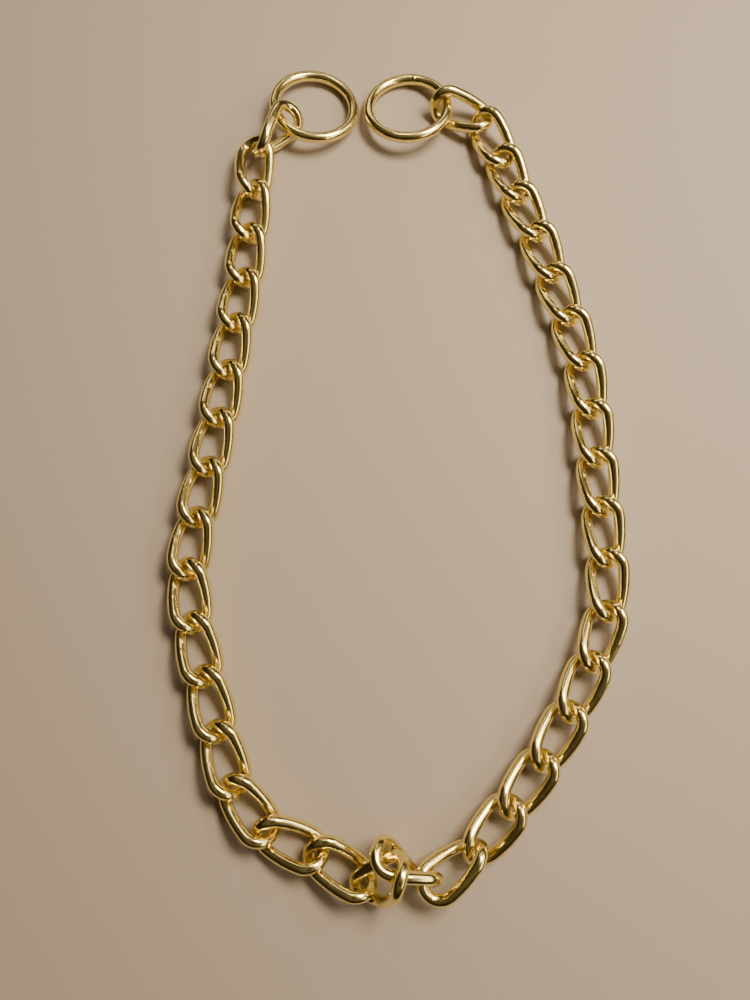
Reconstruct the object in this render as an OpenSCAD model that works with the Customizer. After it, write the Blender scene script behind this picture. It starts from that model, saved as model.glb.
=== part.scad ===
// Choker of heavy twisted oval links: an open chain with a round ring at each end, lying on the
// floor as a long U. The floor is z = 0, the two rings are at the back (+Y), and the bottom of
// the U, where two links stand up against each other, is at the front (-Y).

/* [Links] */
// Diameter of the wire that the links are bent from
wire_d = 3.2; // [2:0.1:4]
// Length of the opening inside a link
link_inner_l = 14.9; // [12:0.1:20]
// Width of a link across the outside
link_w = 12.2; // [9:0.1:14]
// Twist of a link from one end to the other, in degrees
link_twist = 90; // [0:5:120]
// Play between two links that are pulled tight
joint_play = 0.2; // [0.1:0.05:0.5]

/* [End rings] */
// Outside diameter of an end ring
ring_d = 28.0; // [20:0.5:40]
// Diameter of the wire of an end ring
ring_wire_d = 3.2; // [2.4:0.1:4.5]

/* [Fineness] */
// Sections round one link, an even number
link_steps = 16; // [12:2:16]
// Sides of a link's wire
wire_sides = 6; // [5:1:6]

/* [Display] */

/* [Hidden] */
gold = "#c9a94a";
half_l = (link_inner_l + wire_d) / 2;      // middle of a link to the wire's centre at its tip
half_w = (link_w - wire_d) / 2;            // middle of a link to the wire's centre at its side
straight = half_l - half_w;                // half of a link's straight side
ring_r = (ring_d - ring_wire_d) / 2;       // ring's centre to its wire's centre

// The layout is drawn round a point inside the U. Headings are degrees anticlockwise from +X,
// along the chain: from a ring towards the kink at the bottom of the U on both sides, and from
// left to right in the kink. Flat links touch the floor.

// Links that are held up by a ring or by each other.
// Columns: x, y, lift off the floor, heading, rise of the far end, roll about the length
left_end = [
    [-26.1, 158.8, 0.1, -127, 0, -76],
    [-32.6, 147.4, 0.0, -91, -1, -14]
];
right_end = [
    [31.8, 167.9, 0.1, -21, -2, 19],
    [41.1, 158.5, 0.0, -65, -3, 15]
];
kink = [
    [-4.8, -52.4, 0.1, -32, 2, -10],
    [5.7, -54.5, 0.3, 40, 44, -21],
    [11.6, -51.3, 0.0, -30, -20, -79],
    [23.8, -52.3, 0.0, 36, -5, -37]
];

// Flat links of each side, from its end down to the kink.
// Columns: heading, how far the link is pushed up onto the one before it
left_run = [
    [-94, 0.3], [-94, 0], [-98, 0], [-97, 0], [-98, 0], [-99, 0], [-100, 0],
    [-97, 0], [-82, 0.2], [-75, 0], [-74, 0.1], [-72, 0], [-52, 0.4], [-22, 0.5]
];
right_run = [
    [-72, 1.2], [-68, 1.1], [-73, 0.4], [-73, 0.2], [-76, 0.2], [-84, 0], [-88, 0.1],
    [-87, 0.3], [-88, 0.3], [-92, 0], [-111, 0.2], [-117, 0.1], [-123, 0], [-128, 0], [-131, 0.3]
];

// End rings. Columns: x, y, lift off the floor, tilt about X, tilt about Y
ring_places = [
    [-14.6, 169.8, 0.0, -7, 7],
    [14.9, 169.5, 0.0, -10, -4]
];

// Directions and turns
function unit(v) = v / norm(v);
function dir(a) = [cos(a), sin(a)];
function roll_turned(p, a) = [p.x, p.y * cos(a) - p.z * sin(a), p.y * sin(a) + p.z * cos(a)];
function rise_turned(p, a) = [p.x * cos(a) - p.z * sin(a), p.y, p.x * sin(a) + p.z * cos(a)];
function heading_turned(p, a) = [p.x * cos(a) - p.y * sin(a), p.x * sin(a) + p.y * cos(a), p.z];
function turned(p, heading, rise, roll) =
    heading_turned(rise_turned(roll_turned(p, roll), rise), heading);

// One link, lying along X round the origin: two half circles joined by straight sides, with the
// whole loop twisted evenly about its length
arc_steps = (link_steps - 4) / 2;
function arc_point(side, i) =
    let (a = (side > 0 ? -90 : 90) + 180 * i / arc_steps)
    [side * straight + half_w * cos(a), half_w * sin(a)];
flat_loop = concat(
    [for (i = [0:arc_steps]) arc_point(1, i)],
    [[0, half_w]],
    [for (i = [0:arc_steps]) arc_point(-1, i)],
    [[0, -half_w]]
);
function twist_at(x) = -link_twist / 2 * x / half_l;
loop_line = [for (p = flat_loop) roll_turned([p.x, p.y, 0], twist_at(p.x))];
function at(list, i) = list[(i + len(list)) % len(list)];
function tangent(i) =
    unit(unit(at(loop_line, i + 1) - loop_line[i]) + unit(loop_line[i] - at(loop_line, i - 1)));
function link_section(i) =
    let (
        along = tangent(i),
        face = roll_turned([0, 0, 1], twist_at(loop_line[i].x)),
        out = unit(cross(along, face)),
        up = cross(out, along)
    )
    [for (j = [0:wire_sides - 1])
        loop_line[i] + wire_d / 2 * (cos(360 * j / wire_sides) * out + sin(360 * j / wire_sides) * up)];
link_points = [for (i = [0:link_steps - 1]) each link_section(i)];
function point_no(i, j) = (i % link_steps) * wire_sides + j % wire_sides;
link_faces = [for (i = [0:link_steps - 1], j = [0:wire_sides - 1], half = [0, 1])
    half == 0
        ? [point_no(i, j), point_no(i + 1, j + 1), point_no(i + 1, j)]
        : [point_no(i, j), point_no(i, j + 1), point_no(i + 1, j + 1)]];

// The chain. A pose is x, y, lift, heading, rise and roll, as in the tables above
function far_tip(pose) = [pose.x, pose.y] + half_l * cos(pose[4]) * dir(pose[3]);
function run(rows, before, i = 0) =
    i == len(rows) ? [] :
    let (
        heading = rows[i][0],
        overlap = wire_d + joint_play + rows[i][1],
        near_tip = far_tip(before) - overlap * dir((before[3] + heading) / 2),
        middle = near_tip + half_l * dir(heading),
        pose = [middle.x, middle.y, 0, heading, 0, 0]
    )
    concat([pose], run(rows, pose, i + 1));
function backwards(list) = [for (i = [len(list) - 1:-1:0]) list[i]];
link_poses = concat(
    left_end,
    run(left_run, left_end[1]),
    kink,
    backwards(concat(right_end, run(right_run, right_end[1])))
);
link_count = len(link_poses);
function link_height(pose) =
    pose[2] - min([for (p = link_points) turned(p, 0, pose[4], pose[5]).z]);

// End rings
function ring_axis(place) =
    [sin(place[4]) * cos(place[3]), -sin(place[3]), cos(place[4]) * cos(place[3])];
function ring_reach(place, k) = ring_r * sqrt(1 - pow(ring_axis(place)[k], 2)) + ring_wire_d / 2;

// Middle of everything's outline seen from above, which becomes the origin
function link_corners(pose) =
    [for (p = link_points) [pose.x, pose.y] + [for (k = [0, 1]) turned(p, pose[3], pose[4], pose[5])[k]]];
corners = concat(
    [for (pose = link_poses) each link_corners(pose)],
    [for (place = ring_places, side = [-1, 1]) [for (k = [0, 1]) place[k] + side * ring_reach(place, k)]]
);
origin = [for (k = [0, 1]) (min([for (c = corners) c[k]]) + max([for (c = corners) c[k]])) / 2];

function link_name(k) = str("link_", k < 9 ? "0" : "", k + 1);

module chain_link(pose) {
    color(gold)
        translate([pose.x - origin.x, pose.y - origin.y, link_height(pose)])
            rotate([0, 0, pose[3]])
                rotate([0, -pose[4], 0])
                    rotate([pose[5], 0, 0])
                        polyhedron(link_points, link_faces, convexity = 4);
}

module end_ring(place) {
    color(gold)
        translate([place.x - origin.x, place.y - origin.y, place[2] + ring_reach(place, 2)])
            rotate([place[3], place[4], 0])
                rotate_extrude($fn = 96)
                    translate([ring_r, 0])
                        circle(d = ring_wire_d, $fn = 32);
}

module ring_left() {
    end_ring(ring_places[0]);
}

module ring_right() {
    end_ring(ring_places[1]);
}

for (k = [0:link_count - 1])
    chain_link(link_poses[k]);
ring_left();
ring_right();
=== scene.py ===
"""Choker of heavy twisted links with a round ring at each end, lying on a floor as a long U."""
import math

import bpy
import numpy as np
from mathutils import Matrix, Vector


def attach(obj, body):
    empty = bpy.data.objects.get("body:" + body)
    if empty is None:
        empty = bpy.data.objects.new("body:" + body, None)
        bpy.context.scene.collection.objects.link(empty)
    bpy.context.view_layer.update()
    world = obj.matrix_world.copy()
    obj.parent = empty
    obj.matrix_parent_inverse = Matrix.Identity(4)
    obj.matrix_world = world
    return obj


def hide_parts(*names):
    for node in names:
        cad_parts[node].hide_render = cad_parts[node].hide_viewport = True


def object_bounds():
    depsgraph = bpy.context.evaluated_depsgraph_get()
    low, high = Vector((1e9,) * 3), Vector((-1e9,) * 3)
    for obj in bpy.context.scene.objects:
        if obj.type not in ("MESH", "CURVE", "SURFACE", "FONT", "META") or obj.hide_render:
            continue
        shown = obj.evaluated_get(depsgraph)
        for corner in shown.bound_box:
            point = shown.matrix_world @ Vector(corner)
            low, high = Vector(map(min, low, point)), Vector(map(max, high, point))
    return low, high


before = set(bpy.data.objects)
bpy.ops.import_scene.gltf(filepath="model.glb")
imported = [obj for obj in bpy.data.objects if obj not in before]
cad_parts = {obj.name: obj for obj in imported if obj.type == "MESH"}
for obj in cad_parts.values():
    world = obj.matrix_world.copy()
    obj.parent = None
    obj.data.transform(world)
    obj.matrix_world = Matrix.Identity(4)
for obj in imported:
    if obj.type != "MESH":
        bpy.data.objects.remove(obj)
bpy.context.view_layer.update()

# Curb links. Each is a closed loop of round steel wire, bent to a long oval, hooked through the
# link before it, butt welded at the middle of its outer side and twisted a quarter turn.
# The twist is what lets the chain lie flat. The finished chain is tumbled smooth and plated.
MM = 0.001
LINK_COUNT = 37
LINK_WIRE = 3.2 * MM
LINK_INNER_LENGTH = 14.9 * MM
LINK_WIDTH = 12.2 * MM
LINK_TWIST = math.radians(90)
LINK_SECTIONS = 144
WIRE_SIDES = 40
# Share of its thickness that the wire loses across the tip of a bend
BEND_FLAT = 0.02
# Bending pinches shallow creases along the wire. This is how many lie round it, and how deep
# they are at the tip of a bend, as a share of the wire's radius.
CREASES = 8
CREASE_DEPTH = 0.04
# How far the wire swells at a weld, and how far from the weld the swelling falls to a third
WELD_SWELL = 0.03 * MM
LINK_WELD_REACH = 0.45 * MM

link_reach = (LINK_INNER_LENGTH + LINK_WIRE) / 2
bend_radius = (LINK_WIDTH - LINK_WIRE) / 2
straight_half = link_reach - bend_radius
link_lap = 4 * straight_half + 2 * math.pi * bend_radius


def unit(vectors):
    """Vectors of the same directions with the length 1."""
    return vectors / np.linalg.norm(vectors, axis=-1, keepdims=True)


def flat_link(distance):
    """Place on the loop before it is twisted, a distance along the wire from the weld, which is at
    the middle of the side with the lower Y. Also how far into a bend it is, from 0 to 1 at a tip."""
    half_laps, rest = divmod(distance, link_lap / 2)
    past = min(max(rest - straight_half, 0), math.pi * bend_radius)
    turn = past / bend_radius
    x = min(rest, straight_half) + bend_radius * math.sin(turn)
    x -= max(rest - straight_half - math.pi * bend_radius, 0)
    y = -bend_radius * math.cos(turn)
    facing = -1 if half_laps else 1
    return facing * x, facing * y, math.sin(turn)


def twisted(points, x):
    """Points turned about the link's length by the twist that the link has at x."""
    angle = -LINK_TWIST / 2 * x / link_reach
    turned = points.copy()
    turned[:, 1] = points[:, 1] * np.cos(angle) - points[:, 2] * np.sin(angle)
    turned[:, 2] = points[:, 1] * np.sin(angle) + points[:, 2] * np.cos(angle)
    return turned


def weld_bump(distance, lap, height, reach):
    """How far a weld stands out, at distances along a closed wire that starts at it. It falls to
    about a third of its height at its reach to each side."""
    from_weld = np.minimum(distance, lap - distance)
    return height * np.exp(-((from_weld / reach) ** 2))


def round_wire(name, line, up, out_radius, up_radius, crease, lap):
    """Closed loop of wire round a line. up is about square to the line. The two radii are each
    section's half widths, and crease is how deep the long creases are there, as a share of them.
    The UV map has millimetres along the wire and round it."""
    count = len(line)
    along = unit(np.roll(line, -1, 0) - np.roll(line, 1, 0))
    out = unit(np.cross(along, up))
    up = np.cross(out, along)
    turn = np.arange(WIRE_SIDES) * 2 * math.pi / WIRE_SIDES
    across = np.cos(turn)[None, :, None] * out[:, None] * out_radius[:, None, None]
    across = across + np.sin(turn)[None, :, None] * up[:, None] * up_radius[:, None, None]
    creased = 1 - crease[:, None] * (1 - np.cos(CREASES * turn)) / 2
    places = (line[:, None] + across * creased[:, :, None]).reshape(-1, 3)
    here, side = np.divmod(np.arange(count * WIRE_SIDES), WIRE_SIDES)
    after, beside = (here + 1) % count, (side + 1) % WIRE_SIDES
    corners = [(here, side), (after, side), (after, beside), (here, beside)]
    faces = np.stack([section * WIRE_SIDES + corner for section, corner in corners], 1)
    mesh = bpy.data.meshes.new(name)
    mesh.from_pydata(places.tolist(), [], faces.tolist())
    mesh.polygons.foreach_set("use_smooth", [True] * len(faces))
    lap_mm = lap / MM
    girth_mm = 2 * math.pi * out_radius.mean() / MM
    u = np.stack([here, here + 1, here + 1, here], 1) * lap_mm / count
    v = np.stack([side, side, side + 1, side + 1], 1) * girth_mm / WIRE_SIDES
    mesh.uv_layers.new(name="wire").uv.foreach_set("vector", np.stack([u, v], 2).ravel())
    piece = bpy.data.objects.new(name, mesh)
    bpy.context.scene.collection.objects.link(piece)
    return piece


distances = np.arange(LINK_SECTIONS) * link_lap / LINK_SECTIONS
flat = np.array([flat_link(distance) for distance in distances])
bend = flat[:, 2]
flat_line = np.column_stack([flat[:, :2], np.zeros(LINK_SECTIONS)])
flat_up = np.tile([0.0, 0.0, 1.0], (LINK_SECTIONS, 1))
link_line = twisted(flat_line, flat[:, 0])
link_up = twisted(flat_up, flat[:, 0])
weld = weld_bump(distances, link_lap, WELD_SWELL, LINK_WELD_REACH)
across_bend = LINK_WIRE / 2 * (1 - BEND_FLAT * bend) + weld
over_bend = LINK_WIRE / 2 + weld
bend_crease = CREASE_DEPTH * bend

# Decimals of a metre in which two corners of a CAD solid are one
CORNER_DECIMALS = 7


def corners_of(node):
    """The corners of a CAD node, each once."""
    places = np.array([corner.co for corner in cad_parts[node].data.vertices])
    return np.unique(places.round(CORNER_DECIMALS), axis=0)


def main_axes(corners):
    """The directions that corners spread in, as columns, the least spread first."""
    return np.linalg.eigh(np.cov(corners.T))[1]


def link_turn(corners, onward):
    """A CAD link's turn: its length is X, towards the next piece, its width is Y and Z is up."""
    axes = main_axes(corners)
    length = axes[:, 2] * math.copysign(1, axes[:, 2] @ onward)
    width = axes[:, 1]
    if np.cross(length, width)[2] < 0:
        width = -width
    return np.column_stack([length, width, np.cross(length, width)])


# Gold-coloured plating over polished steel. Bright barrel plating follows every dent of the
# wire, so the reflections wobble a little, and handling leaves faint patches less glossy.
PLATE_SHADES = ("#F4E08C", "#FBEAA2")
PATCH_SIZE = 6 * MM
PATCH_DETAIL = 3
CLEAN_ROUGHNESS = 0.14
HANDLED_ROUGHNESS = 0.24
DENT_SIZE = 1.8 * MM
DENT_DETAIL = 2
DENT_DEPTH = 0.05 * MM
DENT_STRENGTH = 0.4


def linear(colour):
    """A hex colour as it is on a screen, as the linear values that a shader takes."""
    parts = [int(colour[i:i + 2], 16) / 255 for i in (1, 3, 5)]
    return [p / 12.92 if p <= 0.04045 else ((p + 0.055) / 1.055) ** 2.4 for p in parts] + [1]


def add_node(tree, kind, settings=(), links=()):
    """A new node. Settings name its properties or inputs, and links join its inputs to outputs."""
    node = tree.nodes.new(kind)
    for name, value in dict(settings).items():
        if name in node.inputs:
            node.inputs[name].default_value = value
        else:
            setattr(node, name, value)
    for name, output in dict(links).items():
        tree.links.new(node.inputs[name], output)
    return node


gold = bpy.data.materials.new("gold_plated_steel")
gold.use_nodes = True
tree = gold.node_tree
shader = tree.nodes["Principled BSDF"]
shader.inputs["Metallic"].default_value = 1
place = add_node(tree, "ShaderNodeTexCoord")
patches = add_node(tree, "ShaderNodeTexNoise",
                   {"Scale": 1 / PATCH_SIZE, "Detail": PATCH_DETAIL},
                   {"Vector": place.outputs["Object"]})
tint = add_node(tree, "ShaderNodeMix",
                {"data_type": "RGBA", "A": linear(PLATE_SHADES[0]), "B": linear(PLATE_SHADES[1])},
                {"Factor": patches.outputs["Fac"]})
tree.links.new(shader.inputs["Base Color"], tint.outputs["Result"])
haze = add_node(tree, "ShaderNodeMapRange",
                {"To Min": CLEAN_ROUGHNESS, "To Max": HANDLED_ROUGHNESS},
                {"Value": patches.outputs["Fac"]})
tree.links.new(shader.inputs["Roughness"], haze.outputs["Result"])
dents = add_node(tree, "ShaderNodeTexNoise",
                 {"Scale": 1 / DENT_SIZE, "Detail": DENT_DETAIL},
                 {"Vector": place.outputs["Object"]})
wobble = add_node(tree, "ShaderNodeBump",
                  {"Strength": DENT_STRENGTH, "Distance": DENT_DEPTH},
                  {"Height": dents.outputs["Fac"]})
tree.links.new(shader.inputs["Normal"], wobble.outputs["Normal"])

for number in range(1, LINK_COUNT + 1):
    node = f"link_{number:02d}"
    before = f"link_{max(number - 1, 1):02d}"
    after = f"link_{min(number + 1, LINK_COUNT):02d}"
    onward = corners_of(after).mean(0) - corners_of(before).mean(0)
    middle = corners_of(node).mean(0)
    turn = link_turn(corners_of(node), onward)
    link = round_wire(f"curb_link_{number:02d}", link_line @ turn.T + middle, link_up @ turn.T,
                      across_bend, over_bend, bend_crease, link_lap)
    link.data.materials.append(gold)
    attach(link, "root")
    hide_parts(node)

# End rings. Each is one turn of the same round steel wire, closed with a butt weld that shows as
# a thin raised seam across the wire, and plated with the chain.
RING_OUTSIDE = 28.0 * MM
RING_WIRE = 3.2 * MM
RING_SECTIONS = 360
RING_WELD_TURNS = {"left": math.radians(200), "right": math.radians(80)}
RING_WELD_REACH = 0.9 * MM
SEAM_HEIGHT = 0.18 * MM
SEAM_REACH = 0.3 * MM

ring_radius = (RING_OUTSIDE - RING_WIRE) / 2
ring_lap = 2 * math.pi * ring_radius
for side, weld_turn in RING_WELD_TURNS.items():
    corners = corners_of(f"ring_{side}")
    middle = (corners.min(0) + corners.max(0)) / 2
    axis = main_axes(corners)[:, 0]
    axis = axis * math.copysign(1, axis[2])
    east = unit(np.cross([0.0, 1.0, 0.0], axis))
    north = np.cross(axis, east)
    turn = np.arange(RING_SECTIONS) * 2 * math.pi / RING_SECTIONS + weld_turn
    line = middle + ring_radius * (np.cos(turn)[:, None] * east + np.sin(turn)[:, None] * north)
    distance = np.arange(RING_SECTIONS) * ring_lap / RING_SECTIONS
    swell = weld_bump(distance, ring_lap, WELD_SWELL, RING_WELD_REACH)
    seam = weld_bump(distance, ring_lap, SEAM_HEIGHT, SEAM_REACH)
    radius = RING_WIRE / 2 + swell + seam
    ring = round_wire(f"end_ring_{side}", line, np.tile(axis, (RING_SECTIONS, 1)), radius, radius,
                      np.zeros(RING_SECTIONS), ring_lap)
    ring.data.materials.append(gold)
    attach(ring, "root")
    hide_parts(f"ring_{side}")

# Floor. A wide level sheet under the choker, at the height of its lowest wire. It has a plain
# pale matt paint, which shows no gloss and nothing but the soft shadows of the chain.
FLOOR_WIDTH = 12.0
FLOOR_COLOUR = "#AA9D8C"
FLOOR_ROUGHNESS = 0.7


def level_sheet(name, length, width):
    """A flat sheet with its middle at its own origin."""
    x, y = length / 2, width / 2
    mesh = bpy.data.meshes.new(name)
    mesh.from_pydata([(-x, -y, 0), (x, -y, 0), (x, y, 0), (-x, y, 0)], [], [(0, 1, 2, 3)])
    sheet = bpy.data.objects.new(name, mesh)
    bpy.context.scene.collection.objects.link(sheet)
    return sheet


def matt_finish(name, colour, roughness):
    """A material of one colour without gloss."""
    material = bpy.data.materials.new(name)
    material.use_nodes = True
    shader = material.node_tree.nodes["Principled BSDF"]
    shader.inputs["Base Color"].default_value = linear(colour)
    shader.inputs["Roughness"].default_value = roughness
    return material


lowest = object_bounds()[0]
floor = level_sheet("floor", FLOOR_WIDTH, FLOOR_WIDTH)
floor.location.z = lowest.z
floor.data.materials.append(matt_finish("matt_floor_paint", FLOOR_COLOUR, FLOOR_ROUGHNESS))

# Studio light. A warm strip lamp high on the right throws the shadows and draws the bright lines
# along the wires, a small lamp beyond the rings glints on the bends, and two dim strips fill the
# flanks. Each lamp faces the middle of the choker.
# Columns of LAMPS: name, place, length and width, watts
LAMPS = [
    ("key_strip", (0.25, 0.18, 0.50), (0.30, 0.16), 5.4),
    ("far_lamp", (-0.05, 0.36, 0.44), (0.09, 0.06), 0.25),
    ("side_strip", (0.48, -0.05, 0.38), (0.90, 0.15), 2.0),
    ("end_strip", (-0.15, 1.00, 0.50), (0.90, 0.07), 0.8),
]
LAMP_COLOUR = "#FFEED6"
for name, spot, size, watts in LAMPS:
    data = bpy.data.lights.new(name, "AREA")
    data.shape = "RECTANGLE"
    data.size, data.size_y = size
    data.energy = watts
    data.color = linear(LAMP_COLOUR)[:3]
    lamp = bpy.data.objects.new(name, data)
    lamp.location = spot
    lamp.rotation_euler = (-Vector(spot)).to_track_quat("-Z", "Y").to_euler()
    lamp.visible_camera = False
    bpy.context.scene.collection.objects.link(lamp)

# Lens card. A small sheet of black felt that hangs just above the lens. Felt has no gloss, so
# it only shows in the polished wires, as a soft dark band, and it throws no shadow here.
CARD_SIZE = (0.075, 0.150)
CARD_PLACE = (-0.011, -0.100, 0.215)
CARD_COLOUR = "#241D14"
CARD_ROUGHNESS = 1
card = level_sheet("lens_card", *CARD_SIZE)
card.location = CARD_PLACE
card.visible_camera = False
card.visible_shadow = False
card.data.materials.append(matt_finish("black_felt_card", CARD_COLOUR, CARD_ROUGHNESS))

# Room. A dim studio that is dark brown at the walls and below, and opens smoothly to a warm grey
# overhead. The lightest place leans a little towards the key strip.
WALL_COLOUR = "#241D14"
CEILING_COLOUR = "#685E4E"
CEILING_WAY = (0.15, 0.10, 1)
# Cosine of the angle from the lightest place at which the walls begin
WALL_EDGE = 0.3
world = bpy.data.worlds.new("room")
bpy.context.scene.world = world
world.use_nodes = True
tree = world.node_tree
way = add_node(tree, "ShaderNodeTexCoord")
facing = add_node(tree, "ShaderNodeVectorMath", {"operation": "DOT_PRODUCT"})
facing.inputs[1].default_value = Vector(CEILING_WAY).normalized()
tree.links.new(facing.inputs[0], way.outputs["Generated"])
height = add_node(tree, "ShaderNodeMapRange",
                  {"interpolation_type": "SMOOTHSTEP", "From Min": WALL_EDGE, "From Max": 1},
                  {"Value": facing.outputs["Value"]})
walls = add_node(tree, "ShaderNodeMix",
                 {"data_type": "RGBA", "A": linear(WALL_COLOUR), "B": linear(CEILING_COLOUR)},
                 {"Factor": height.outputs["Result"]})
tree.links.new(tree.nodes["Background"].inputs["Color"], walls.outputs["Result"])

# Camera. A phone's wide lens, held 21 cm above the floor and leaning a little towards the
# rings. Its place, lean and reach are fitted to the chain and rings in the photograph.
SENSOR = 36.0
# Focal length as a share of the long side of the picture
LENS_REACH = 0.751
CAMERA_PLACE = (-0.010961, -0.061033, 0.210)
CAMERA_LEAN = math.radians(11.9)
CAMERA_TURN = math.radians(5.55)
NEAREST_SEEN = 0.01
view = bpy.data.cameras.new("camera")
view.sensor_width = SENSOR
view.lens = SENSOR * LENS_REACH
view.clip_start = NEAREST_SEEN
camera = bpy.data.objects.new("camera", view)
lean = Matrix.Rotation(-CAMERA_TURN, 4, "Z")
lean = lean @ Matrix.Rotation(CAMERA_LEAN, 4, "X")
lean = lean @ Matrix.Rotation(CAMERA_TURN, 4, "Z")
camera.matrix_world = Matrix.Translation(CAMERA_PLACE) @ lean
bpy.context.scene.collection.objects.link(camera)
bpy.context.scene.camera = camera
